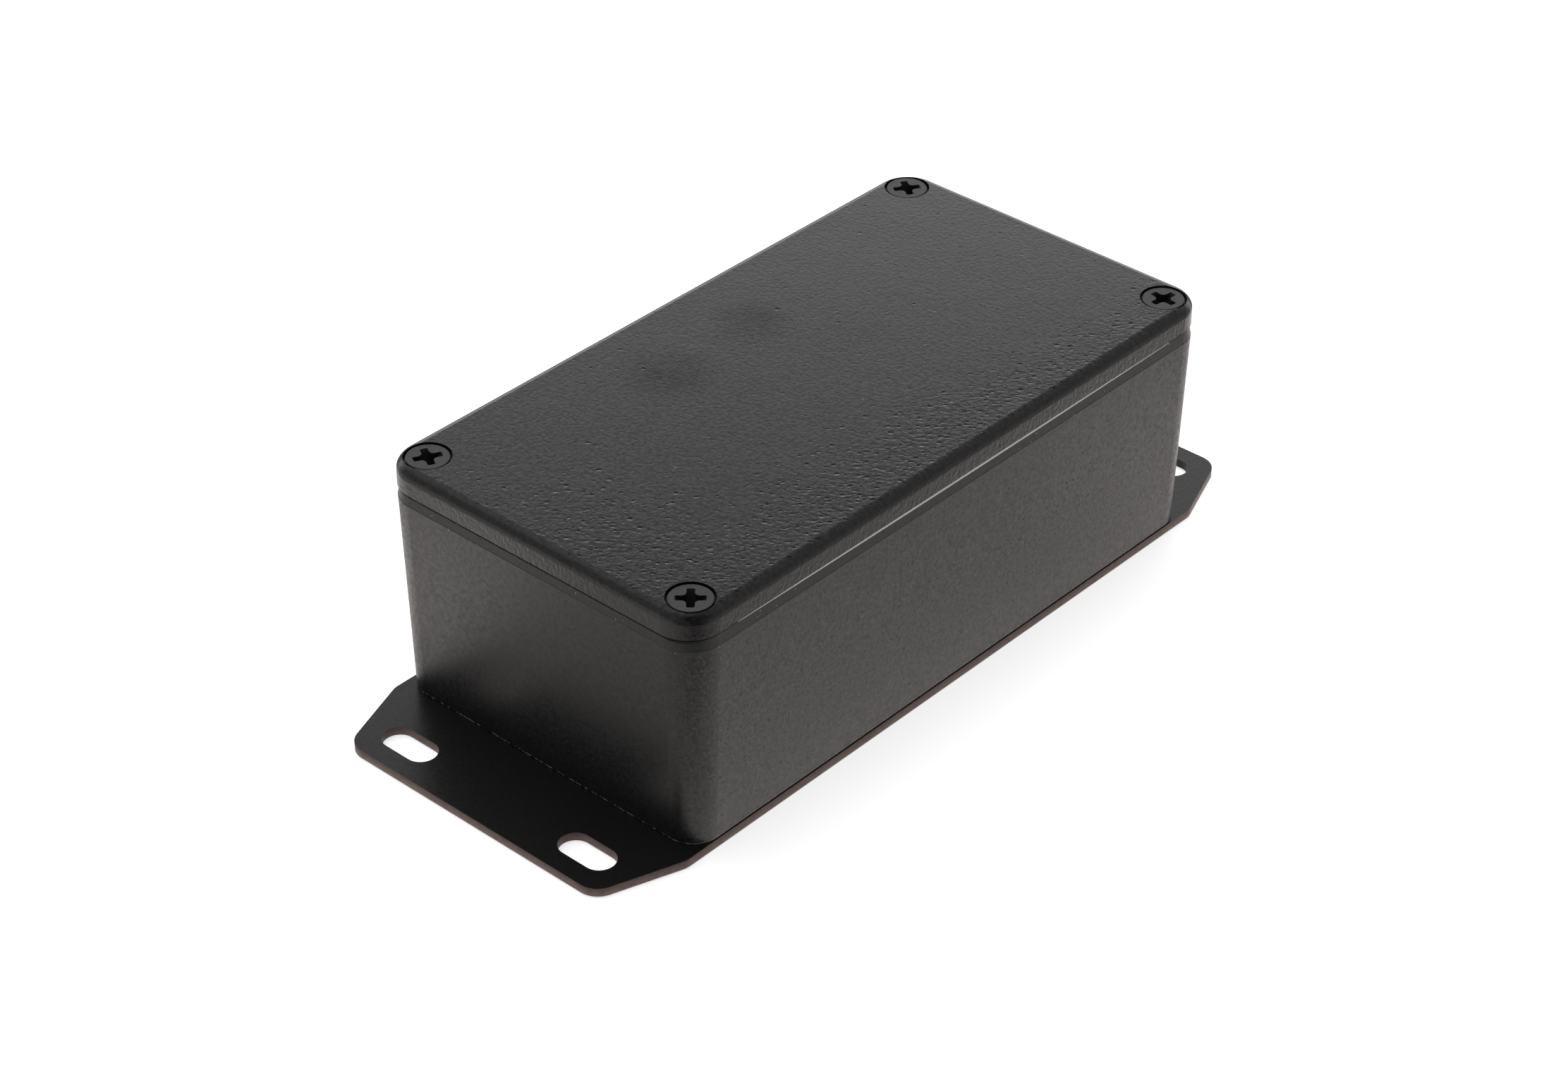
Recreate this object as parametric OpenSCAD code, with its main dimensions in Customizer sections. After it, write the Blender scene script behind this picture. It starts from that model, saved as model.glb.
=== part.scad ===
// Flanged die cast enclosure: a drafted box with a sealed, screwed lid on a slotted mounting plate.
// Millimetres. +Z is up, the length runs along Y, the origin is the centre of the plate's underside.

/* [Case] */
// Length of the case, over the lid
case_l = 123.8; // [100:0.2:160]
// Width of the case, over the lid
case_w = 65.1; // [56:0.1:90]
// Height of the case, from the mounting plate to the top of the lid
case_h = 43; // [34:0.5:70]
// Plan radius of the lid's upright corners
corner_r = 6.1; // [5.5:0.1:7.5]
// Chamfer that breaks the sharp edges of the castings
edge_break = 0.15; // [0.05:0.05:0.3]

/* [Box] */
// Thickness of the walls
wall_t = 2.4; // [2:0.1:3]
// Thickness of the floor
floor_t = 2.6; // [2:0.1:4]
// Draft of the walls, which narrow towards the foot, in degrees
box_draft = 1.5; // [0.5:0.25:2.5]
// Radius round the foot of the box
foot_r = 0.3; // [0.2:0.1:2]
// Radius between the walls and the floor, inside
floor_r = 1; // [0.5:0.1:1.2]
// Plan radius of the upright corners at the rim
rim_corner_r = 5.5; // [5:0.1:6.5]
// How far the rim lies inside the lid's edge along the long sides
rim_in_x = 0.25; // [0.15:0.05:0.4]
// How far the rim lies inside the lid's edge at the ends
rim_in_y = 0.5; // [0.15:0.05:0.6]
// Depth of the die parting line below the rim
die_line_drop = 1.9; // [1.2:0.1:3]
// How far the wall stands proud of the rim at the parting line
die_proud = 0.3; // [0.15:0.05:0.4]
// Step that the parting line leaves
die_step = 0.08; // [0.04:0.02:0.12]
// Dip of the cast rim at the middle of the long sides
side_dip = 0.3; // [0.1:0.05:0.5]
// Dip of the cast rim at the middle of the ends
end_dip = 0.45; // [0.1:0.05:0.6]

/* [Screw posts] */
// Distance from the lid's long edge to the screws
screw_in_x = 5.1; // [4.6:0.1:6]
// Distance from the lid's end edge to the screws
screw_in_y = 5.4; // [4.6:0.1:6]
// Radius of the posts
post_r = 4.7; // [4.5:0.1:5.5]
// Radius where the posts run into the walls
post_fillet = 1.5; // [0.8:0.1:2]

/* [Lid] */
// Height of the lid's side
lid_side_h = 4.4; // [4:0.1:6]
// Radius round the lid's top edge
lid_edge_r = 1.7; // [1:0.1:2]
// Draft of the lid's side, in degrees
lid_draft = 1; // [0.5:0.25:2]
// Thickness of the lid's top
lid_top_t = 2.4; // [2:0.1:3]
// Gap between the rim and the lid's edge at the corners
joint_gap = 0.1; // [0.05:0.05:0.2]
// How far the locating lip reaches below the rim
lip_h = 1.6; // [1:0.1:3]
// Thickness of the locating lip
lip_t = 1.4; // [1:0.1:2]
// Clearance between the lip and the box
lip_clear = 0.3; // [0.2:0.05:0.4]

/* [Gasket] */
// Distance from the lid's edge to the gasket
gasket_in = 0.75; // [0.6:0.05:0.85]
// Width of the gasket
gasket_w = 1.3; // [1:0.05:1.4]
// Height of the gasket above the rim
gasket_h = 1; // [0.8:0.05:1.4]
// Clearance on each side of the gasket in its groove
gasket_clear = 0.1; // [0.05:0.05:0.15]
// How far the swollen stretch in the dip stays inside the lid's edge
swell_in = 0.1; // [0.05:0.05:0.2]
// Radius at which the gasket passes inside the screws
gasket_post_r = 2.6; // [2.4:0.1:2.9]

/* [Lid screws] */
// Thread diameter
screw_d = 3.5; // [3:0.1:3.8]
// Length under the top of the head
screw_len = 13; // [9:0.5:16]
// Diameter of the head
screw_head_d = 6.95; // [6:0.05:7.2]
// Height of the head's rim
screw_rim_h = 0.35; // [0.2:0.05:0.5]
// Chamfer round the top of a head
head_break = 0.08; // [0.04:0.01:0.1]
// Depth of the head below the lid's top
head_sink = 0.15; // [0:0.05:0.4]
// Diameter of the round recess that the head sits in
head_bore_d = 7.7; // [7.4:0.05:8]
// Depth of that recess
head_bore_h = 1; // [0.8:0.05:1.2]
// Diameter of the holes in the lid
lid_hole_d = 4.2; // [4:0.1:4.6]
// Span of the cross recess
drive_span = 4.75; // [3.6:0.05:5]
// Width of the arms of the cross recess
drive_w = 1.25; // [0.8:0.05:1.5]
// Radius between the arms of the cross recess
drive_r = 0.75; // [0.2:0.05:0.9]
// Depth of the cross recess
drive_h = 2.4; // [1.2:0.1:2.6]
// Turn of each screw's cross: near right, near left, far right, far left
screw_turns = [42, 63, 83, 55]; // [0:1:90]

/* [Mounting plate] */
// Thickness of the plate
plate_t = 1.5; // [1.3:0.1:3]
// Reach of the plate past the lid at each end
plate_reach = 15.35; // [13:0.05:25]
// How far the plate shows past the foot of the box along the long sides
plate_margin = 0.15; // [0:0.05:3]
// Width of the cut at each corner, across the plate
plate_cut_x = 5.2; // [3:0.1:8]
// Length of the cut at each corner, along the plate
plate_cut_y = 14.6; // [8:0.1:16]
// Radius of the plate's corners
plate_corner_r = 3.8; // [1:0.1:4]
// Length of the slots
slot_l = 10.5; // [7:0.1:14]
// Width of the slots
slot_w = 5.4; // [4:0.1:6]
// Distance from the plate's long edge to the slots' centres
slot_in_x = 12.5; // [12:0.1:16]
// Distance from the plate's end to the slots' centres
slot_in_y = 6.15; // [5.5:0.05:7.5]

/* [Plate screws] */
// Thread diameter
plate_screw_d = 3; // [2.5:0.1:3.5]
// Length under the top of the head
plate_screw_len = 7; // [6:0.5:10]
// Diameter of the head
plate_head_d = 5.5; // [5:0.1:5.6]
// Height of the head's rim
plate_rim_h = 0.15; // [0.1:0.05:0.2]
// Depth of the head inside the plate's underside
plate_head_sink = 0.1; // [0:0.05:0.2]
// Span of the cross recess
plate_drive_span = 3; // [2.4:0.1:3.4]
// Width of the arms of the cross recess
plate_drive_w = 0.8; // [0.6:0.05:1]
// Radius between the arms of the cross recess
plate_drive_r = 0.45; // [0.2:0.05:0.6]
// Depth of the cross recess
plate_drive_h = 1.2; // [0.8:0.1:1.6]

/* [Casting marks] */
// Diameter of the round ejector pin marks inside the castings
ejector_d = 5; // [3:0.5:8]
// Depth of the ejector pin marks
ejector_h = 0.2; // [0.1:0.05:0.4]
// Distance of the marks from the centre, across the case
ejector_x = 16; // [8:0.5:18]
// Distance of the marks from the centre, along the case
ejector_y = 38; // [20:0.5:40]

/* [Fits] */
// Radial clearance of a screw's core in its tapped hole
thread_clear = 0.3; // [0.2:0.05:0.4]
// Clearance between a countersunk head and its seat
seat_clear = 0.05; // [0.03:0.01:0.1]
// Depth of a tapped hole past the screw's tip
tip_clear = 1.5; // [1:0.5:3]
// Chamfer at the tip of a screw
tip_break = 0.4; // [0.2:0.1:0.6]

/* [Hidden] */
$fn = 96;
// Overlap that lets one shape cut cleanly through another
cut = 1;
// Straight stretches that follow the dip of the rim
dip_steps = 24;

// Heights
case_top = plate_t + case_h;
lid_z = case_top - lid_side_h;
rim_z = lid_z - joint_gap;
die_z = rim_z - die_line_drop;
floor_z = plate_t + floor_t;
lip_z = rim_z - lip_h;
pocket_z = case_top - lid_top_t;
gasket_top = rim_z + gasket_h;

// Plan sizes
rim_w = case_w - 2 * rim_in_x;
rim_l = case_l - 2 * rim_in_y;
cavity_w = rim_w + 2 * (die_proud - wall_t);
cavity_l = rim_l + 2 * (die_proud - wall_t);
cavity_r = rim_corner_r + die_proud - wall_t;
screw_x = case_w / 2 - screw_in_x;
screw_y = case_l / 2 - screw_in_y;
side_dip_half = screw_y - post_r;
end_dip_half = screw_x - post_r;
post_reach = screw_in_x + screw_in_y;
foot_drop = (die_z - plate_t) * tan(box_draft);
foot_w = rim_w + 2 * (die_proud - foot_drop);
plate_w = foot_w + 2 * plate_margin;
plate_l = case_l + 2 * plate_reach;
slot_x = plate_w / 2 - slot_in_x;
slot_y = plate_l / 2 - slot_in_y;

// Screws
screw_core_d = screw_d - 2 * thread_clear;
tap_h = screw_len + head_sink - lid_side_h - joint_gap + tip_clear;
plate_core_d = plate_screw_d - 2 * thread_clear;
plate_tap_h = plate_screw_len + plate_head_sink - plate_t + tip_clear;
countersink_angle = 90;
// Radius at the bottom of a cross recess, as a share of its span
drive_tip = 0.2;

// Repeats a shape that is drawn in the +X +Y corner in all four corners
module four_corners() {
    for (mx = [0, 1], my = [0, 1])
        mirror([mx, 0, 0])
            mirror([0, my, 0])
                children();
}

// Sweeps a half section round a rectangle with rounded corners. The section's X is the distance
// from the corners' centres, and the block inside those centres runs from z0 to z1.
module sweep_round(w, l, r, z0, z1) {
    in_x = w / 2 - r;
    in_y = l / 2 - r;
    for (turn = [0 : 90 : 270]) {
        side_x = turn % 180 == 0 ? in_x : in_y;
        side_y = turn % 180 == 0 ? in_y : in_x;
        rotate([0, 0, turn])
            translate([side_x, side_y, 0]) {
                rotate_extrude(angle = 90)
                    children();
                rotate([90, 0, 0])
                    linear_extrude(2 * side_y)
                        children();
            }
    }
    translate([-in_x, -in_y, z0])
        cube([2 * in_x, 2 * in_y, z1 - z0]);
}

// Half section of the box's outside: foot radius, drafted wall, parting line and rim
module box_section() {
    die_r = rim_corner_r + die_proud;
    foot_c = die_r - (die_z - plate_t - foot_r) * tan(box_draft) - foot_r / cos(box_draft);
    polygon([
        [0, plate_t],
        [foot_c, plate_t],
        [foot_c + foot_r * cos(box_draft), plate_t + foot_r - foot_r * sin(box_draft)],
        [die_r - die_step * tan(box_draft), die_z - die_step],
        [die_r - die_step, die_z],
        [rim_corner_r, rim_z - edge_break],
        [rim_corner_r - edge_break, rim_z],
        [0, rim_z],
    ]);
    translate([foot_c, plate_t + foot_r])
        circle(foot_r);
}

// Half section of the space inside the box, with a round corner at the floor
module cavity_section() {
    low_r = cavity_r - (rim_z - floor_z) * tan(box_draft);
    round_r = min(floor_r, low_r / 2);
    round_c = cavity_r - (rim_z - floor_z - round_r) * tan(box_draft) - round_r / cos(box_draft);
    polygon([
        [0, floor_z],
        [round_c, floor_z],
        [round_c + round_r * cos(box_draft), floor_z + round_r - round_r * sin(box_draft)],
        [cavity_r, rim_z],
        [cavity_r, rim_z + cut],
        [0, rim_z + cut],
    ]);
    translate([round_c, floor_z + round_r])
        circle(round_r);
}

// Half section of the lid's outside: drafted side and round top edge
module lid_section() {
    edge_z = case_top - lid_edge_r;
    edge_c = corner_r - (edge_z - lid_z) * tan(lid_draft) - lid_edge_r / cos(lid_draft);
    polygon([
        [0, lid_z],
        [corner_r - edge_break, lid_z],
        [corner_r - edge_break * tan(lid_draft), lid_z + edge_break],
        [edge_c + lid_edge_r * cos(lid_draft), edge_z + lid_edge_r * sin(lid_draft)],
        [edge_c, case_top],
        [0, case_top],
    ]);
    translate([edge_c, edge_z])
        circle(lid_edge_r);
}

// Plan of one post with radius r, run out past the case's corner
module post_plan(r) {
    translate([screw_x, screw_y]) {
        circle(r);
        translate([0, -r])
            square([post_reach, post_reach + r]);
        translate([-r, 0])
            square([post_reach + r, post_reach]);
    }
}

// Plan of the hollow fillet of radius r in the corner at [x, y], open towards the origin
module fillet_plan(x, y, r) {
    difference() {
        translate([x - r, y - r])
            square(r + cut);
        translate([x - r, y - r])
            circle(r);
    }
}

// Plan of what the posts and their fillets fill, seen from inside at a distance from their faces
module posts_plan(away) {
    r = post_r + away;
    fillet = post_fillet - away;
    four_corners() {
        post_plan(r);
        if (fillet > 0) {
            fillet_plan(cavity_w / 2 - away, screw_y - r, fillet);
            fillet_plan(screw_x - r, cavity_l / 2 - away, fillet);
        }
    }
}

// Plan of the box's opening at the rim, at a distance inside its walls and posts
module opening_plan(away) {
    difference() {
        square([cavity_w - 2 * away, cavity_l - 2 * away], center = true);
        posts_plan(away);
    }
}

// Plan inside the gasket's outer edge, moved inwards by a distance
module seal_plan(away) {
    difference() {
        square([case_w - 2 * (gasket_in + away), case_l - 2 * (gasket_in + away)], center = true);
        four_corners()
            post_plan(gasket_post_r + away);
    }
}

// Plan of the gasket, grown by a clearance on both sides
module gasket_plan(grow) {
    difference() {
        seal_plan(-grow);
        seal_plan(gasket_w + grow);
    }
}

// The shallow hollow that a dip of the rim leaves along Y, run out past both sides
module dip_hollow(half, dip) {
    dip_points = [
        for (i = [0 : dip_steps])
            let (y = half * (2 * i / dip_steps - 1))
            [y, rim_z - dip * (1 - pow(y / half, 2))]
    ];
    translate([-case_l / 2, 0, 0])
        rotate([90, 0, 90])
            linear_extrude(case_l)
                polygon(concat(dip_points, [[half, rim_z + cut], [-half, rim_z + cut]]));
}

// The hollows of the rim's dips, along the long sides and at the ends
module dip_hollows() {
    dip_hollow(side_dip_half, side_dip);
    rotate([0, 0, 90])
        dip_hollow(end_dip_half, end_dip);
}

// Plan of the ejector pin marks
module ejector_plan() {
    four_corners()
        translate([ejector_x, ejector_y])
            circle(d = ejector_d);
}

// Cross recess of a screw, cut down from z = 0
module cross_recess(span, w, r, h) {
    blend = w / 2 + r;
    intersection() {
        translate([0, 0, -h])
            cylinder(h = h + cut, r1 = drive_tip * span, r2 = span / 2 + cut * (0.5 - drive_tip) * span / h);
        translate([0, 0, -h])
            linear_extrude(h + cut) {
                square([2 * span, w], center = true);
                square([w, 2 * span], center = true);
                difference() {
                    square(2 * blend, center = true);
                    four_corners()
                        translate([blend, blend])
                            circle(r);
                }
            }
    }
}

// Countersunk screw with the top of its head at z = 0, pointing down
module countersunk_screw(head_d, rim_h, core_d, len, span, w, r, h) {
    head_r = head_d / 2;
    core_r = core_d / 2;
    cone_h = (head_r - core_r) / tan(countersink_angle / 2);
    difference() {
        rotate_extrude()
            polygon([
                [0, 0],
                [head_r - head_break, 0],
                [head_r, -head_break],
                [head_r, -rim_h],
                [core_r, -rim_h - cone_h],
                [core_r, tip_break - len],
                [core_r - tip_break, -len],
                [0, -len],
            ]);
        cross_recess(span, w, r, h);
    }
}

// Conical seat for a countersunk head whose rim ends at z = 0, opening upwards
module countersink(head_d, hole_d) {
    seat_r = head_d / 2 + seat_clear / sin(countersink_angle / 2);
    seat_h = (seat_r - hole_d / 2) / tan(countersink_angle / 2);
    translate([0, 0, -seat_h])
        cylinder(h = seat_h, d1 = hole_d, r2 = seat_r);
}

// Die cast box
module base_box() {
    color("#2b2b2c")
        difference() {
            sweep_round(rim_w, rim_l, rim_corner_r, plate_t, rim_z)
                box_section();
            difference() {
                sweep_round(cavity_w, cavity_l, cavity_r, floor_z, rim_z + cut)
                    cavity_section();
                translate([0, 0, plate_t])
                    linear_extrude(rim_z + 2 * cut - plate_t)
                        posts_plan(0);
            }
            four_corners()
                translate([screw_x, screw_y, 0]) {
                    translate([0, 0, rim_z - tap_h])
                        cylinder(h = tap_h + cut, d = screw_d);
                    translate([0, 0, plate_t - cut])
                        cylinder(h = plate_tap_h + cut, d = plate_screw_d);
                }
            translate([0, 0, floor_z - ejector_h])
                linear_extrude(ejector_h + cut)
                    ejector_plan();
            dip_hollows();
        }
}

// Die cast lid
module lid() {
    color("#2d2d2e")
        difference() {
            union() {
                sweep_round(case_w, case_l, corner_r, lid_z, case_top)
                    lid_section();
                translate([0, 0, lip_z])
                    linear_extrude(pocket_z - lip_z)
                        opening_plan(lip_clear);
            }
            translate([0, 0, lip_z - cut])
                linear_extrude(pocket_z - lip_z + cut)
                    opening_plan(lip_clear + lip_t);
            translate([0, 0, lid_z - cut])
                linear_extrude(gasket_top - lid_z + cut)
                    gasket_plan(gasket_clear);
            four_corners()
                translate([screw_x, screw_y, 0]) {
                    translate([0, 0, lid_z - cut])
                        cylinder(h = lid_side_h + 2 * cut, d = lid_hole_d);
                    translate([0, 0, case_top - head_bore_h])
                        cylinder(h = head_bore_h + cut, d = head_bore_d);
                    translate([0, 0, case_top - head_sink - screw_rim_h])
                        countersink(screw_head_d, lid_hole_d);
                }
            translate([0, 0, pocket_z - cut])
                linear_extrude(ejector_h + cut)
                    ejector_plan();
        }
}

// Soft seal in the lid's groove, which fills the dips of the rim and swells out along the long sides
module lid_gasket() {
    swell_x = case_w / 2 - gasket_in - gasket_w / 2;
    swell_w = gasket_in + gasket_w / 2 - swell_in;
    low_z = rim_z - max(side_dip, end_dip);
    color("#d9d8d3")
        difference() {
            union() {
                translate([0, 0, low_z])
                    linear_extrude(gasket_top - low_z)
                        gasket_plan(0);
                for (side = [0, 1])
                    mirror([side, 0, 0])
                        translate([swell_x, -side_dip_half, low_z])
                            cube([swell_w, 2 * side_dip_half, lid_z - low_z]);
            }
            difference() {
                translate([-case_w / 2, -case_l / 2, low_z - cut])
                    cube([case_w, case_l, rim_z - low_z + cut]);
                dip_hollows();
            }
        }
}

// Four screws of the lid
module lid_screws() {
    places = [[1, -1], [-1, -1], [1, 1], [-1, 1]];
    color("#2f2d2d")
        for (i = [0 : 3])
            translate([places[i].x * screw_x, places[i].y * screw_y, case_top - head_sink])
                rotate([0, 0, screw_turns[i]])
                    countersunk_screw(screw_head_d, screw_rim_h, screw_core_d, screw_len,
                                      drive_span, drive_w, drive_r, drive_h);
}

// Unit vector
function unit(v) = v / norm(v);

// Polygon whose corners are rounded with true arcs of radius r
module rounded_polygon(points, r) {
    n = len(points);
    to_last = [for (i = [0 : n - 1]) unit(points[(i + n - 1) % n] - points[i])];
    to_next = [for (i = [0 : n - 1]) unit(points[(i + 1) % n] - points[i])];
    half = [for (i = [0 : n - 1]) acos(to_last[i] * to_next[i]) / 2];
    polygon([
        for (i = [0 : n - 1])
            for (way = [to_last[i], to_next[i]])
                points[i] + way * r / tan(half[i])
    ]);
    for (i = [0 : n - 1])
        translate(points[i] + unit(to_last[i] + to_next[i]) * r / sin(half[i]))
            circle(r);
}

// Outline of the mounting plate
module plate_plan() {
    x = plate_w / 2;
    y = plate_l / 2;
    rounded_polygon([
        [x, plate_cut_y - y],
        [x, y - plate_cut_y],
        [x - plate_cut_x, y],
        [plate_cut_x - x, y],
        [-x, y - plate_cut_y],
        [-x, plate_cut_y - y],
        [plate_cut_x - x, -y],
        [x - plate_cut_x, -y],
    ], plate_corner_r);
}

// One mounting slot, along X
module slot_plan() {
    square([slot_l - slot_w, slot_w], center = true);
    for (end = [-1, 1])
        translate([end * (slot_l - slot_w) / 2, 0])
            circle(d = slot_w);
}

// Flat mounting plate
module flange_plate() {
    color("#242122")
        difference() {
            linear_extrude(plate_t)
                difference() {
                    plate_plan();
                    four_corners()
                        translate([slot_x, slot_y])
                            slot_plan();
                }
            four_corners()
                translate([screw_x, screw_y, 0]) {
                    translate([0, 0, -cut])
                        cylinder(h = plate_t + 2 * cut, d = plate_screw_d);
                    translate([0, 0, plate_head_sink + plate_rim_h])
                        mirror([0, 0, 1])
                            countersink(plate_head_d, plate_screw_d);
                    translate([0, 0, -cut])
                        cylinder(h = cut + plate_head_sink + plate_rim_h,
                                 r = plate_head_d / 2 + seat_clear / sin(countersink_angle / 2));
                }
        }
}

// Four flush screws that hold the plate to the box from below
module flange_screws() {
    color("#2f2d2d")
        four_corners()
            translate([screw_x, screw_y, plate_head_sink])
                rotate([180, 0, 0])
                    countersunk_screw(plate_head_d, plate_rim_h, plate_core_d, plate_screw_len,
                                      plate_drive_span, plate_drive_w, plate_drive_r, plate_drive_h);
}

base_box();
lid();
lid_gasket();
lid_screws();
flange_plate();
flange_screws();
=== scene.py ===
import bpy
from mathutils import Matrix, Vector


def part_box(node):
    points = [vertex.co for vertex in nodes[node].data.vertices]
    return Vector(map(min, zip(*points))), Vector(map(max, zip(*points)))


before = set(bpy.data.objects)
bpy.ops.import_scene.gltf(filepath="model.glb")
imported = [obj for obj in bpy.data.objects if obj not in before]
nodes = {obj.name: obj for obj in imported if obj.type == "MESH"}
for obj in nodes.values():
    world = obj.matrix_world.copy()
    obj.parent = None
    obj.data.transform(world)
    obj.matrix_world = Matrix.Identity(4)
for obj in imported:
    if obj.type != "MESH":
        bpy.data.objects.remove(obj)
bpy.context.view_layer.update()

scene = bpy.context.scene
scene.view_settings.view_transform = "Standard"


# Camera, in the photograph's place

RIGHT = Vector((0.744565, 0.667540, 0.003555))
UP = Vector((-0.382859, 0.422660, 0.821448))
BACK = Vector((0.546847, -0.612983, 0.570272))
PLACE = Vector((0.314853, -0.358525, 0.344291))
SENSOR_MM = 36.0
LENS_MM = 81.857

cam_data = bpy.data.cameras.new("camera")
cam_data.sensor_fit = "HORIZONTAL"
cam_data.sensor_width = SENSOR_MM
cam_data.lens = LENS_MM
cam_data.clip_start = 0.01
cam_data.clip_end = 20.0
cam = bpy.data.objects.new("camera", cam_data)
cam.matrix_world = Matrix((
    (RIGHT.x, UP.x, BACK.x, PLACE.x),
    (RIGHT.y, UP.y, BACK.y, PLACE.y),
    (RIGHT.z, UP.z, BACK.z, PLACE.z),
    (0.0, 0.0, 0.0, 1.0),
))
scene.collection.objects.link(cam)
scene.camera = cam


# Node helpers

# Places of the colour sockets on a mix node, whose names repeat for each type of data
MIX_FACTOR, MIX_A, MIX_B, MIX_RESULT = 0, 6, 7, 2
WHITE = (1.0, 1.0, 1.0, 1.0)


class Tree:
    """The node tree of a material or of the world, with short calls for the nodes used here."""

    def __init__(self, owner, output="ShaderNodeOutputMaterial"):
        self.owner = owner
        owner.use_nodes = True
        self.tree = owner.node_tree
        self.tree.nodes.clear()
        self.out = self.add(output)

    def add(self, kind, **settings):
        node = self.tree.nodes.new(kind)
        for key, value in settings.items():
            setattr(node, key, value)
        return node

    def put(self, socket, value):
        """Sets a socket to a fixed value, or links another node's socket to it."""
        if isinstance(value, bpy.types.NodeSocket):
            self.tree.links.new(value, socket)
        else:
            socket.default_value = value

    def coords(self, kind="Object"):
        return self.add("ShaderNodeTexCoord").outputs[kind]

    def axes(self, vector):
        node = self.add("ShaderNodeSeparateXYZ")
        self.put(node.inputs[0], vector)
        return node.outputs[0], node.outputs[1], node.outputs[2]

    def scaled(self, vector, scale):
        node = self.add("ShaderNodeMapping")
        self.put(node.inputs["Vector"], vector)
        self.put(node.inputs["Scale"], scale)
        return node.outputs["Vector"]

    def dot(self, vector, other):
        node = self.add("ShaderNodeVectorMath", operation="DOT_PRODUCT")
        self.put(node.inputs[0], vector)
        self.put(node.inputs[1], other)
        return node.outputs["Value"]

    def distance(self, vector, point):
        node = self.add("ShaderNodeVectorMath", operation="DISTANCE")
        self.put(node.inputs[0], vector)
        self.put(node.inputs[1], point)
        return node.outputs["Value"]

    def noise(self, vector, scale, detail=2.0, rough=0.5):
        """Cloudy noise from 0 to 1, with scale in cells per metre."""
        node = self.add("ShaderNodeTexNoise")
        self.put(node.inputs["Vector"], vector)
        self.put(node.inputs["Scale"], scale)
        self.put(node.inputs["Detail"], detail)
        self.put(node.inputs["Roughness"], rough)
        return node.outputs["Fac"]

    def bent(self, vector, scale, reach):
        """The vector, shifted along each axis by noise between 0 and reach."""
        noise = self.add("ShaderNodeTexNoise")
        self.put(noise.inputs["Vector"], vector)
        self.put(noise.inputs["Scale"], scale)
        node = self.add("ShaderNodeVectorMath", operation="MULTIPLY_ADD")
        self.put(node.inputs[0], noise.outputs["Color"])
        self.put(node.inputs[1], (reach, reach, reach))
        self.put(node.inputs[2], vector)
        return node.outputs["Vector"]

    def drawn_out(self, vector, way, share):
        """The vector, shortened by a share along a direction, so that patterns are drawn out that way."""
        along = self.times(self.dot(vector, way), -share)
        step = self.add("ShaderNodeVectorMath", operation="SCALE")
        self.put(step.inputs[0], way)
        self.put(step.inputs["Scale"], along)
        total = self.add("ShaderNodeVectorMath", operation="ADD")
        self.put(total.inputs[0], vector)
        self.put(total.inputs[1], step.outputs["Vector"])
        return total.outputs["Vector"]

    def span(self, value, low, high, to_low=0.0, to_high=1.0, kind="LINEAR"):
        node = self.add("ShaderNodeMapRange", interpolation_type=kind)
        names = ("Value", "From Min", "From Max", "To Min", "To Max")
        for name, number in zip(names, (value, low, high, to_low, to_high)):
            self.put(node.inputs[name], number)
        return node.outputs["Result"]

    def smooth(self, value, low, high):
        """0 at low and 1 at high, with a soft run between."""
        return self.span(value, low, high, kind="SMOOTHSTEP")

    def math(self, operation, a, b=0.0):
        node = self.add("ShaderNodeMath", operation=operation)
        self.put(node.inputs[0], a)
        self.put(node.inputs[1], b)
        return node.outputs[0]

    def times(self, a, b):
        return self.math("MULTIPLY", a, b)

    def plus(self, *values):
        total = values[0]
        for value in values[1:]:
            total = self.math("ADD", total, value)
        return total

    def rest(self, share):
        """What is left of 1."""
        return self.math("SUBTRACT", 1.0, share)

    def most(self, a, b):
        return self.math("MAXIMUM", a, b)

    def mix(self, factor, a, b):
        node = self.add("ShaderNodeMix", data_type="RGBA")
        self.put(node.inputs[MIX_FACTOR], factor)
        self.put(node.inputs[MIX_A], a)
        self.put(node.inputs[MIX_B], b)
        return node.outputs[MIX_RESULT]

    def cells(self, vector, scale, share):
        """A random grid of cells: its node, and 1 in the share of the cells that are picked."""
        cell = self.add("ShaderNodeTexVoronoi")
        self.put(cell.inputs["Vector"], vector)
        self.put(cell.inputs["Scale"], scale)
        pick = self.add("ShaderNodeSeparateColor")
        self.put(pick.inputs[0], cell.outputs["Color"])
        return cell, self.math("LESS_THAN", pick.outputs[0], share)

    def dots(self, vector, scale, radius, share, soft=0.0):
        """Round spots in a share of the cells, 1 inside and 0 outside."""
        cell, picked = self.cells(vector, scale, share)
        spot = self.smooth(cell.outputs["Distance"], radius, radius * soft)
        return self.times(spot, picked)

    def pits(self, vector, scale, radius, share, way):
        """Round pits in a share of the cells: 1 on the wall towards way, -1 on the lip across."""
        cell, picked = self.cells(vector, scale, share)
        spot = self.smooth(cell.outputs["Distance"], radius, radius * 0.5)
        offset = self.add("ShaderNodeVectorMath", operation="SUBTRACT")
        self.put(offset.inputs[0], vector)
        self.put(offset.inputs[1], cell.outputs["Position"])
        along = self.times(self.dot(offset.outputs["Vector"], way), scale)
        wall = self.span(along, -0.4 * radius, 0.4 * radius, -1.0, 1.0, "SMOOTHSTEP")
        return self.times(self.times(spot, wall), picked)

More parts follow.
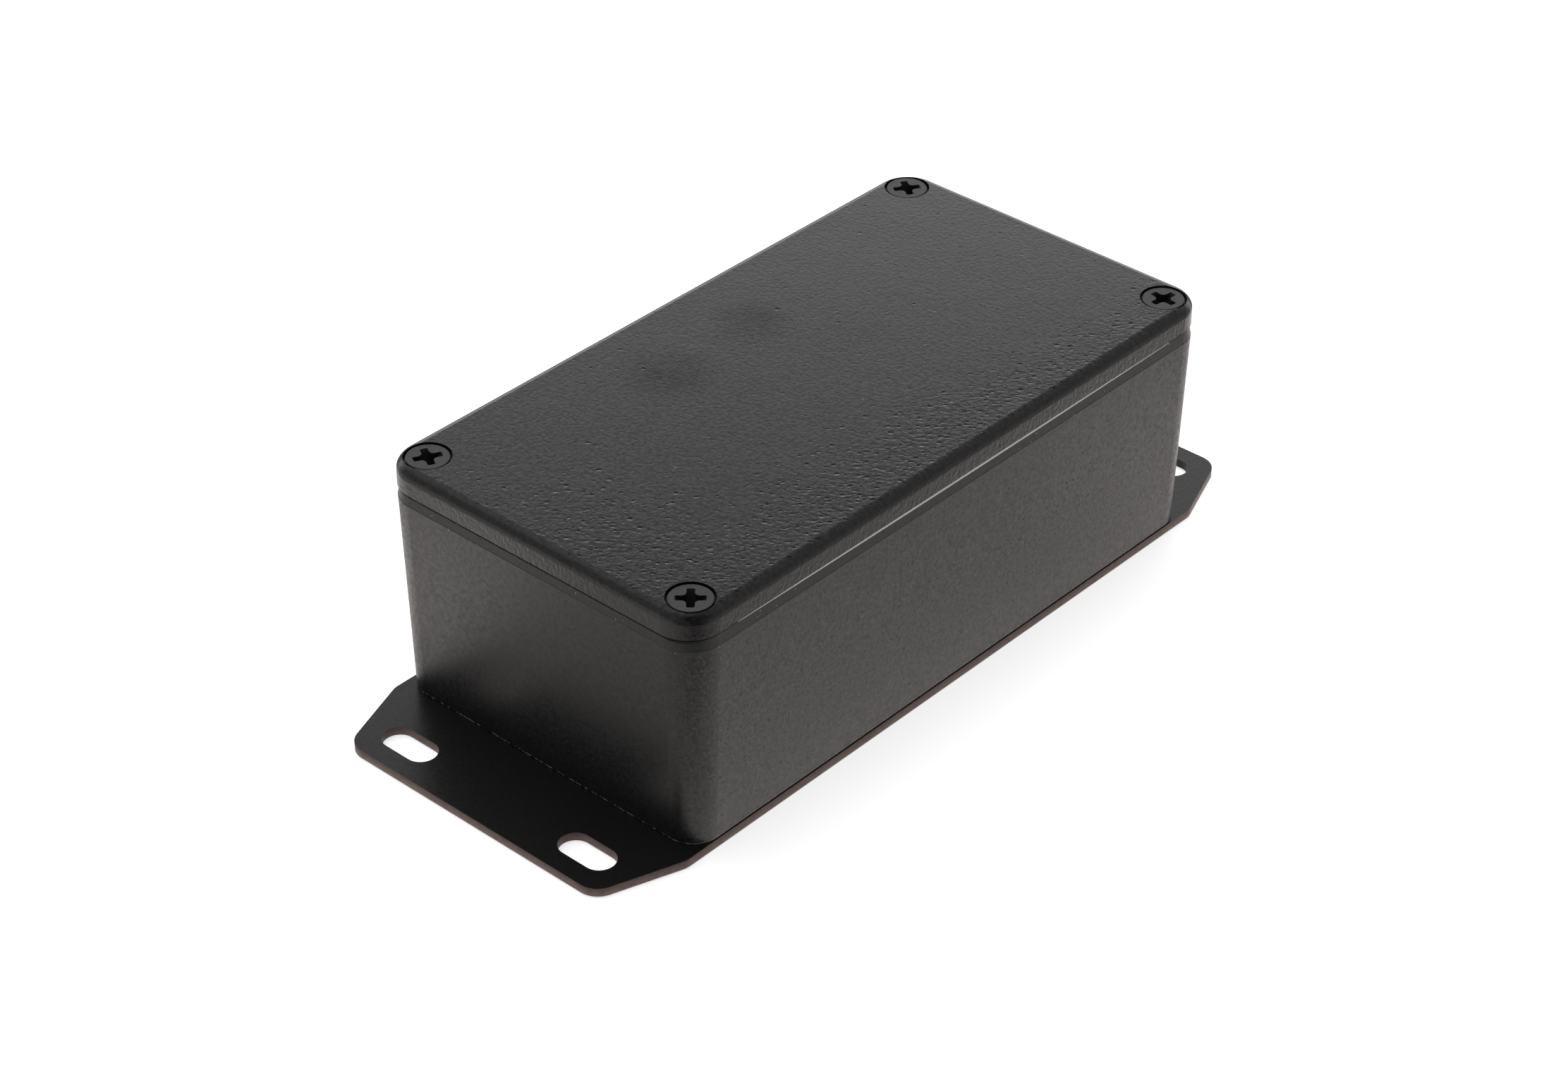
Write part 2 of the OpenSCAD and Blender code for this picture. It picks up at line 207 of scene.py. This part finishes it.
    def tilted(self, normal, amount, way):
        """A normal, tilted by an amount towards a direction."""
        tilt = self.add("ShaderNodeVectorMath", operation="SCALE")
        self.put(tilt.inputs[0], way)
        self.put(tilt.inputs["Scale"], amount)
        total = self.add("ShaderNodeVectorMath", operation="ADD")
        self.put(total.inputs[0], normal)
        self.put(total.inputs[1], tilt.outputs["Vector"])
        unit = self.add("ShaderNodeVectorMath", operation="NORMALIZE")
        self.put(unit.inputs[0], total.outputs["Vector"])
        return unit.outputs["Vector"]

    def bump(self, height):
        """Bump from a height in millimetres."""
        node = self.add("ShaderNodeBump")
        self.put(node.inputs["Height"], height)
        self.put(node.inputs["Distance"], 0.001)
        self.put(node.inputs["Strength"], 1.0)
        return node.outputs["Normal"]

    def surface(self, color, rough, normal, shine=0.5):
        shader = self.add("ShaderNodeBsdfPrincipled")
        shader.inputs["Specular IOR Level"].default_value = shine
        self.put(shader.inputs["Base Color"], color)
        self.put(shader.inputs["Roughness"], rough)
        self.put(shader.inputs["Normal"], normal)
        self.put(self.out.inputs["Surface"], shader.outputs[0])
        return self.owner

    def glow(self, strength, color=WHITE):
        node = self.add("ShaderNodeEmission")
        self.put(node.inputs["Color"], color)
        self.put(node.inputs["Strength"], strength)
        return node.outputs[0]


def material(name):
    return Tree(bpy.data.materials.new(name))


def grey(level, warmth=0.0):
    return (level * (1.0 + warmth), level, level * (1.0 - warmth), 1.0)


# Heights in the part's frame, in metres. A pair says where a zone starts and where it is full.

LID_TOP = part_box("lid")[1].z
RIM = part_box("base_box")[1].z
DIE_LINE = RIM - 0.0019
PLATE_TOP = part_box("flange_plate")[1].z

LID_SIDE = (LID_TOP - 0.0011, LID_TOP - 0.0019)
LID_FLAT = (LID_TOP - 0.0002, LID_TOP - 0.00005)
LID_EDGE = (LID_TOP - 0.00001, LID_TOP - 0.00018)
RIM_EDGE = (RIM - 0.00038, RIM - 0.00026)
RIM_BAND = (DIE_LINE - 0.0007, DIE_LINE - 0.0003)
STEP_FROM = (DIE_LINE - 0.0011, DIE_LINE - 0.0009)
STEP_TO = (DIE_LINE + 0.0003, DIE_LINE)
# Height of the pale foot: flecks of wear, and a painted reflection along the long sides.
FOOT_REFLECTION_AND_WEAR = (PLATE_TOP + 0.0005, PLATE_TOP + 0.00025)

PALE_DUST = grey(0.45)


# The lid's coat. Places are metres in the part's frame, heights of the relief are millimetres.

# The way towards the steep walls of the pits, the way that those walls face, and the way along which
# the pits are drawn out
PIT_WAY = (-0.666, 0.746, 0.0)
PIT_FACE = (0.666, -0.746, 0.0)
PIT_LENGTH = (0.746, 0.666, 0.0)
PIT_DRAW = 0.22
RIPPLE_DRAW = 0.4
LIP_SHARE = 0.10

# The pitted zone: its ragged edge, its stretch along the right edge, which narrows towards the far end,
# its stretch along the near end, and how far its surface leans
ZONE_RAGGED = 0.010
ZONE_RIGHT_X = (0.015, 0.032)
ZONE_FAR_Y = (0.005, 0.040)
ZONE_FAR_SHIFT = -0.007
ZONE_NEAR_Y = (-0.026, -0.052)
ZONE_NEAR_X = (-0.026, 0.014)
ZONE_LEAN = 0.008

# The smudges, as x, y and radius, the radius of their full middle, and how far their surface leans
SMUDGES = ((-0.0172, 0.0055, 0.0085), (-0.0165, -0.0150, 0.0100))
SMUDGE_MIDDLE = 0.0015
SMUDGE_LEAN = (0.012, 0.026)

# The dull edges at the left and at the far end
LEFT_EDGE_X = (-0.0290, -0.0310)
FAR_EDGE_Y = (0.0580, 0.0600)
EDGE_LEAN = 0.40


def pitted_zone(t, at):
    """1 where the pits crowd, along the right edge and at the near corner, and 0 elsewhere."""
    x, y, _ = t.axes(at)
    drift = t.times(t.noise(at, 90.0), ZONE_RAGGED)
    shift = t.times(t.smooth(y, *ZONE_FAR_Y), ZONE_FAR_SHIFT)
    right = t.smooth(t.plus(x, drift, shift), *ZONE_RIGHT_X)
    near = t.times(t.smooth(t.plus(y, drift), *ZONE_NEAR_Y), t.smooth(x, *ZONE_NEAR_X))
    return t.most(right, near)


def pit_slopes(t, at, crowd):
    """Slope of large and small pits: 1 on the steep walls, a little below 0 on the lips."""
    bent = t.drawn_out(t.bent(at, 1200.0, 0.0005), PIT_LENGTH, PIT_DRAW)
    large = t.pits(bent, 820.0, 0.37, t.span(crowd, 0.0, 1.0, 0.01, 1.0), PIT_WAY)
    small = t.pits(bent, 1200.0, 0.34, t.span(crowd, 0.0, 1.0, 0.06, 1.0), PIT_WAY)
    pits = t.plus(large, small)
    return t.plus(t.most(pits, 0.0), t.times(t.math("MINIMUM", pits, 0.0), LIP_SHARE))


def smudge_lean(t, at):
    """Lean of the surface in the smudges, uneven and soft towards their edges."""
    spots = [t.smooth(t.distance(at, (x, y, LID_TOP)), radius, SMUDGE_MIDDLE) for x, y, radius in SMUDGES]
    return t.times(t.plus(*spots), t.span(t.noise(at, 220.0), 0.3, 0.7, *SMUDGE_LEAN))


def edge_lean(t, at):
    """Lean of the round top edge at the left and at the far end."""
    x, y, z = t.axes(at)
    back = t.most(t.smooth(x, *LEFT_EDGE_X), t.smooth(y, *FAR_EDGE_Y))
    return t.times(t.times(back, t.smooth(z, *LID_EDGE)), EDGE_LEAN)


def lid_coat():
    """Satin black coat on the lid: fine grain, a pitted zone, two smudges and dull edges at the back."""
    t = material("lid_coat")
    at = t.coords()
    z = t.axes(at)[2]
    crowd = pitted_zone(t, at)
    lean = t.plus(pit_slopes(t, at, crowd), smudge_lean(t, at), t.times(crowd, ZONE_LEAN))
    lean = t.plus(t.times(lean, t.smooth(z, *LID_FLAT)), edge_lean(t, at))
    streak = t.noise(t.scaled(at, (1.0, 1.0, 0.6)), 1600.0, 2.5, 0.6)
    ripple = t.noise(t.drawn_out(at, PIT_LENGTH, RIPPLE_DRAW), 1400.0)
    grain = t.noise(at, 1500.0, 3.0, 0.6)
    height = t.plus(
        t.times(t.times(streak, t.smooth(z, *LID_SIDE)), 0.07),
        t.times(t.times(ripple, crowd), 0.06),
        t.times(grain, 0.034),
        t.times(t.noise(at, 45.0), 0.05),
    )
    dust = t.dots(at, 240.0, radius=0.04, share=0.05, soft=0.5)
    color = t.mix(t.smooth(grain, 0.3, 0.7), grey(0.001), grey(0.013))
    color = t.mix(t.times(dust, 0.4), color, PALE_DUST)
    rough = t.span(grain, 0.3, 0.7, 0.19, 0.29)
    return t.surface(color, rough, t.tilted(t.bump(height), lean, PIT_FACE))


# The box's coat

# Distance from the middle at which the walls of the long sides begin
LONG_SIDE_X = (0.0275, 0.0322)
UPWARDS = (0.0, 0.0, 1.0)


def box_dust(t, at, rim):
    """Pale specks: a few all over, and many small ones on the rim."""
    few = t.dots(at, 280.0, radius=0.045, share=0.05, soft=0.5)
    many = t.dots(at, 700.0, radius=0.12, share=0.8, soft=0.5)
    return t.most(few, t.times(many, rim))


def box_color(t, at, rim, long_side):
    """Black and speckled, the long sides' lighter speckle being painted sheen; a painted highlight on the
    parting line's upturned step; a pale foot, flecks of wear all round and a painted reflection along the
    long sides.
    """
    z = t.axes(at)[2]
    grain_and_sheen_speck = t.smooth(t.noise(at, 2000.0, 4.0, 0.75), 0.38, 0.70)
    grain_and_sheen_speck = t.plus(t.times(grain_and_sheen_speck, t.rest(rim)), t.times(rim, 0.4))
    # On the long sides the speckle runs far lighter: painted sheen, standing in for how the grain catches
    # the light on those walls. On the end walls it is the coat's own random tone.
    dark = t.mix(long_side, grey(0.004), grey(0.0005))
    bright = t.mix(long_side, grey(0.015, 0.03), grey(0.064, 0.03))
    # Upturned faces of the parting line's step take a pale painted highlight.
    upturned = t.smooth(t.axes(t.coords("Normal"))[2], 0.3, 0.55)
    step = t.times(upturned, t.times(t.smooth(z, *STEP_FROM), t.smooth(z, *STEP_TO)))
    # Pale foot: flecks of wear all round, and along the long sides a painted reflection of the bright floor
    # in the wall's foot.
    fleck = t.smooth(t.noise(at, 1500.0, 2.0, 0.6), 0.47, 0.57)
    foot_reflection_and_wear = t.times(t.smooth(z, *FOOT_REFLECTION_AND_WEAR), t.most(t.times(long_side, 0.8), fleck))
    color = t.mix(step, t.mix(grain_and_sheen_speck, dark, bright), grey(0.05, 0.03))
    color = t.mix(t.times(box_dust(t, at, rim), 0.5), color, PALE_DUST)
    return t.mix(foot_reflection_and_wear, color, grey(0.34, 0.03))


def box_coat():
    """The same coat on the box: fine grain, small dull pits, and a ragged edge of the rim at the ends."""
    t = material("box_coat")
    at = t.coords()
    x, _, z = t.axes(at)
    long_side = t.smooth(t.math("ABSOLUTE", x), *LONG_SIDE_X)
    relief = t.span(long_side, 0.0, 1.0, 0.4, 1.0)
    grain = t.noise(at, 1250.0, 3.0, 0.65)
    bent = t.bent(at, 1500.0, 0.0005)
    pits = t.plus(t.dots(bent, 1150.0, radius=0.26, share=0.5), t.dots(bent, 600.0, radius=0.15, share=0.8))
    rises = t.plus(t.times(grain, 0.024), t.times(pits, -0.026))
    height = t.plus(t.times(rises, relief), t.times(t.noise(at, 45.0), 0.05))
    ragged = t.plus(z, t.times(t.noise(at, 1400.0, 2.0, 0.6), 0.0003))
    edge = t.times(t.smooth(ragged, *RIM_EDGE), t.rest(long_side))
    color = box_color(t, at, t.smooth(z, *RIM_BAND), long_side)
    rough = t.plus(t.span(grain, 0.35, 0.65, 0.34, 0.48), t.times(t.times(pits, relief), 0.35))
    return t.surface(color, rough, t.tilted(t.bump(height), edge, UPWARDS))


# The plate

# The coat on the cut edges: worn thin, thinner still, and the dark streaks along them
THIN_COAT = (0.262, 0.187, 0.168, 1.0)
BARE_COAT = (0.430, 0.312, 0.281, 1.0)
DARK_STREAK = (0.160, 0.118, 0.106, 1.0)

# The far slots, whose walls take a painted shadow
FAR_SLOTS_X = (0.0260, 0.0250)
FAR_SLOTS_FROM = (0.0630, 0.0655)
FAR_SLOTS_TO = (0.0755, 0.0745)


def plate_coat():
    """Black coated sheet with a fine even grain and a few pale specks."""
    t = material("plate_coat")
    at = t.coords()
    fine = t.noise(at, 1700.0, 3.0, 0.55)
    dust = t.dots(at, 200.0, radius=0.035, share=0.10, soft=0.5)
    color = t.mix(t.noise(at, 50.0), grey(0.0075, 0.03), grey(0.0098, 0.04))
    color = t.mix(t.times(dust, 0.4), color, PALE_DUST)
    rough = t.span(fine, 0.3, 0.7, 0.25, 0.31)
    return t.surface(color, rough, t.bump(t.times(fine, 0.014)))


def plate_edge():
    """The sheet's cut edges: brownish thin coat, darker towards the top, and with a painted shadow in the
    far slots.
    """
    t = material("plate_edge")
    at = t.coords()
    x, y, z = t.axes(at)
    drawn = t.noise(t.scaled(at, (1.0, 1.0, 3.0)), 900.0, 3.0, 0.6)
    fine = t.noise(at, 2600.0)
    color = t.mix(t.noise(at, 120.0, 3.0, 0.55), THIN_COAT, BARE_COAT)
    color = t.mix(t.span(drawn, 0.40, 0.70, 0.0, 0.7), color, DARK_STREAK)
    # Painted shadow: the walls of the far slots, beside the box, are darkened.
    far_slot_shadow = t.times(t.smooth(t.math("ABSOLUTE", x), *FAR_SLOTS_X), t.smooth(y, *FAR_SLOTS_FROM))
    far_slot_shadow = t.times(far_slot_shadow, t.smooth(y, *FAR_SLOTS_TO))
    shade = t.most(t.span(z, 0.0002, PLATE_TOP, 0.0, 0.65), far_slot_shadow)
    color = t.mix(shade, color, grey(0.02, 0.1))
    rough = t.span(fine, 0.3, 0.7, 0.45, 0.6)
    height = t.plus(t.times(drawn, 0.02), t.times(fine, 0.01))
    return t.surface(color, rough, t.bump(height), shine=0.2)


# The screws and the seal

PALE_SILICONE = ((0.74, 0.73, 0.70, 1.0), (0.86, 0.85, 0.82, 1.0))


def screw_coat():
    """Black finished steel screw, satin, with faint rubbed spots."""
    t = material("screw_coat")
    at = t.coords()
    fine = t.noise(at, 1500.0, 3.0, 0.55)
    rub = t.dots(at, 900.0, radius=0.10, share=0.06, soft=0.4)
    color = t.mix(t.noise(at, 300.0), grey(0.010, 0.08), grey(0.016, 0.08))
    color = t.mix(t.times(rub, 0.5), color, grey(0.35))
    rough = t.span(fine, 0.3, 0.7, 0.40, 0.52)
    return t.surface(color, rough, t.bump(t.times(fine, 0.012)))


def recess_shade_coat():
    """Inside of the cross recesses: dull, with the colour darkened to near black as painted shade."""
    t = material("recess_shade_coat")
    fine = t.noise(t.coords(), 1800.0, 3.0, 0.6)
    color = t.mix(fine, grey(0.0015), grey(0.0040, 0.05))
    rough = t.span(fine, 0.3, 0.7, 0.62, 0.8)
    return t.surface(color, rough, t.bump(t.times(fine, 0.03)))


def seal_rubber():
    """Pale silicone of the seal."""
    t = material("seal_rubber")
    fine = t.noise(t.coords(), 900.0, 3.0, 0.55)
    rough = t.span(fine, 0.3, 0.7, 0.55, 0.68)
    return t.surface(t.mix(fine, *PALE_SILICONE), rough, t.bump(t.times(fine, 0.02)))


# Which piece and face takes which material

HEAD_D = 6.95e-3
HEADS_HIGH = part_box("lid_screws")[1]
SCREW_X = HEADS_HIGH.x - HEAD_D / 2
SCREW_Y = HEADS_HIGH.y - HEAD_D / 2
RECESS_R = 2.45e-3
RECESS_FROM = 1e-5
RECESS_TO = 3e-3
UPRIGHT = 0.5


def dress(node, *materials, pick=None):
    """Gives a CAD node its materials; pick says which of them a face takes."""
    mesh = nodes[node].data
    mesh.materials.clear()
    for one in materials:
        mesh.materials.append(one)
    if pick:
        for face in mesh.polygons:
            face.material_index = pick(face)


def in_recess(face):
    """1 for the faces inside a lid screw's cross recess."""
    at = face.center
    off = Vector((abs(at.x) - SCREW_X, abs(at.y) - SCREW_Y)).length
    below = HEADS_HIGH.z - at.z
    return int(off < RECESS_R and RECESS_FROM < below < RECESS_TO)


def on_edge(face):
    """1 for the plate's upright faces."""
    return int(abs(face.normal.z) < UPRIGHT)


screws = screw_coat()
dress("base_box", box_coat())
dress("lid", lid_coat())
dress("lid_gasket", seal_rubber())
dress("lid_screws", screws, recess_shade_coat(), pick=in_recess)
dress("flange_plate", plate_coat(), plate_edge(), pick=on_edge)
dress("flange_screws", screws)


# Floor

FLOOR_HALF = 6.0
FLOOR_DROP = 0.0002
PAPER = (0.80, 0.80, 0.80, 1.0)
# What whitens the paper for the camera alone
CAMERA_WHITE = 0.65
# The tint and the plain level of the light that glossy rays see on the floor, and its brightest pool
FLOOR_TINT = (1.06, 1.0, 0.97, 1.0)
FLOOR_LEVEL = 0.98
POOL_PLACE = (-0.062, -0.084, 0.0)
POOL_FADE = (0.040, 0.012)
POOL_LEVEL = 0.77


def floor_light(t):
    """Level of light that glossy rays see, fitted to the reflections in the photograph's walls."""
    at = t.coords()
    x, y, _ = t.axes(at)
    pool = t.times(t.smooth(t.distance(at, POOL_PLACE), *POOL_FADE), POOL_LEVEL)
    foot = t.times(t.smooth(x, 0.042, 0.035), 0.15)
    behind = t.times(t.times(t.smooth(y, 0.030, 0.085), t.smooth(x, 0.078, 0.054)), 0.32)
    right = t.plus(t.times(t.smooth(x, 0.063, 0.078), -0.27), t.times(t.smooth(x, 0.076, 0.105), -0.20))
    front = t.times(t.smooth(y, -0.050, -0.090), -0.37)
    return t.plus(pool, foot, behind, right, front, FLOOR_LEVEL)


def floor_paper():
    """White paper. Glossy rays see a pattern of light on it, brightest at the left."""
    t = material("floor_paper")
    path = t.add("ShaderNodeLightPath")
    paper = t.add("ShaderNodeBsdfDiffuse")
    paper.inputs["Color"].default_value = PAPER
    lit = t.add("ShaderNodeAddShader")
    t.put(lit.inputs[0], paper.outputs[0])
    t.put(lit.inputs[1], t.glow(t.times(path.outputs["Is Camera Ray"], CAMERA_WHITE)))
    seen = t.add("ShaderNodeMixShader")
    t.put(seen.inputs[0], path.outputs["Is Glossy Ray"])
    t.put(seen.inputs[1], lit.outputs[0])
    t.put(seen.inputs[2], t.glow(floor_light(t), FLOOR_TINT))
    t.put(t.out.inputs["Surface"], seen.outputs[0])
    return t.owner


corners = [(-FLOOR_HALF, -FLOOR_HALF, 0), (FLOOR_HALF, -FLOOR_HALF, 0),
           (FLOOR_HALF, FLOOR_HALF, 0), (-FLOOR_HALF, FLOOR_HALF, 0)]
floor_mesh = bpy.data.meshes.new("floor")
floor_mesh.from_pydata(corners, [], [(0, 1, 2, 3)])
floor_mesh.materials.append(floor_paper())
floor = bpy.data.objects.new("floor", floor_mesh)
floor.location.z = -FLOOR_DROP
scene.collection.objects.link(floor)


# Room and lamp

ROOM_LEVEL = 0.40
# Directions of the backdrop, of two softboxes and of the darkness in front
BACKDROP_WAY = (-0.669, 0.743, 0.0)
LEFT_BOX_WAY = (-0.56, 0.02, 0.828)
HIGH_BOX_WAY = (-0.185, 0.155, 0.970)
DARK_WAY = (0.765, -0.407, 0.5)


def room_light(t):
    """A bright low backdrop at the back left, softboxes high at the left and darkness in front."""
    way = t.coords("Generated")
    up = t.axes(way)[2]
    backdrop = t.times(t.smooth(up, 0.56, 0.41), t.smooth(t.dot(way, BACKDROP_WAY), 0.35, 0.75))
    left = t.smooth(t.dot(way, LEFT_BOX_WAY), 0.88, 0.96)
    high = t.smooth(t.dot(way, HIGH_BOX_WAY), 0.955, 0.990)
    dark = t.smooth(t.dot(way, DARK_WAY), 0.70, 0.90)
    return t.plus(
        t.times(backdrop, 1.5),
        t.times(left, 0.25),
        t.times(high, 0.55),
        t.times(dark, -0.3),
        ROOM_LEVEL,
    )


def studio():
    """The room's light, with plain white for the camera."""
    t = Tree(bpy.data.worlds.new("studio"), "ShaderNodeOutputWorld")
    path = t.add("ShaderNodeLightPath")
    room = t.add("ShaderNodeBackground")
    room.inputs["Color"].default_value = WHITE
    t.put(room.inputs["Strength"], room_light(t))
    white = t.add("ShaderNodeBackground")
    white.inputs["Color"].default_value = WHITE
    both = t.add("ShaderNodeMixShader")
    t.put(both.inputs[0], path.outputs["Is Camera Ray"])
    t.put(both.inputs[1], room.outputs[0])
    t.put(both.inputs[2], white.outputs[0])
    t.put(t.out.inputs["Surface"], both.outputs[0])
    return t.owner


def softbox(name, place, aim, size, power):
    light = bpy.data.lights.new(name, "AREA")
    light.shape = "RECTANGLE"
    light.size, light.size_y = size
    light.energy = power
    lamp = bpy.data.objects.new(name, light)
    lamp.location = place
    way = Vector(aim) - Vector(place)
    lamp.rotation_mode = "QUATERNION"
    lamp.rotation_quaternion = way.to_track_quat("-Z", "Y")
    lamp.visible_glossy = False
    scene.collection.objects.link(lamp)


scene.world = studio()
softbox("top", place=(-0.2, 0.1, 0.9), aim=(0.0, 0.0, 0.0), size=(1.0, 1.0), power=4.6)
